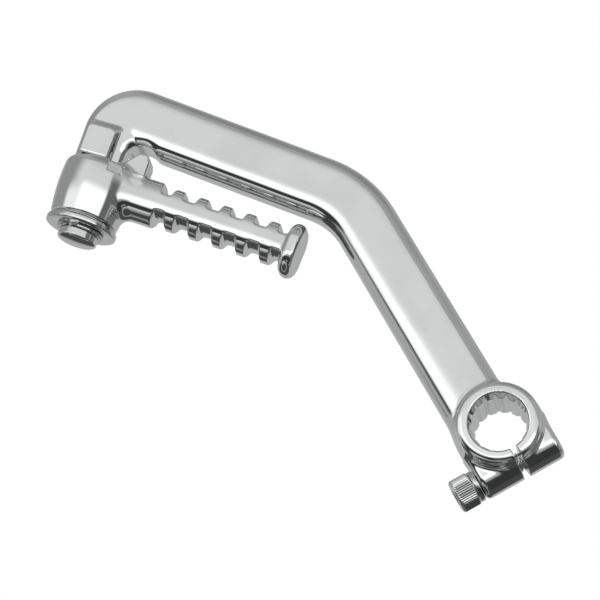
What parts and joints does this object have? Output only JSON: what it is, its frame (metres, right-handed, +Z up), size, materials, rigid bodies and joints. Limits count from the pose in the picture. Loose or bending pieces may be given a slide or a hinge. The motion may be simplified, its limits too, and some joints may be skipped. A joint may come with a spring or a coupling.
{
  "type": "kick start lever",
  "caption": "Bent chromed arm with a split splined clamp at one end and a ribbed foot pedal that folds under the arm at the other.",
  "frame": {"origin": "centre of the splined bore, half way along it", "axes": "+Y along the bore, away from the engine; +Z up along the pedal's pivot; the arm runs towards -X"},
  "size_m": [0.1726, 0.0226, 0.098],
  "materials": {
    "chrome": "polished",
    "plated_steel": "bright zinc",
    "spring_steel": "ground"
  },
  "bodies": {
    "lever": {"lever_arm": "chrome", "wave_washer": "spring_steel", "thrust_washer": "plated_steel", "retaining_ring": "spring_steel", "clamp_screw": "plated_steel", "lock_washer": "spring_steel", "detent_spring": "spring_steel"},
    "pedal": {"kick_pedal": "chrome"},
    "detent": {"detent_ball": "plated_steel"}
  },
  "joints": [
    {"name": "pedal_fold", "type": "hinge", "parent": "lever", "child": "pedal", "pos_m": [-0.1403, 0.001, 0.0362], "axis": [0, 0, 1], "range_deg": [0, 90]},
    {"name": "detent_press", "type": "slide", "parent": "lever", "child": "detent", "axis": [0.7071, 0.7071, 0], "range_m": [0, 0.0003], "stiffness_N_per_m": 1500, "springref_m": 0.0003}
  ]
}
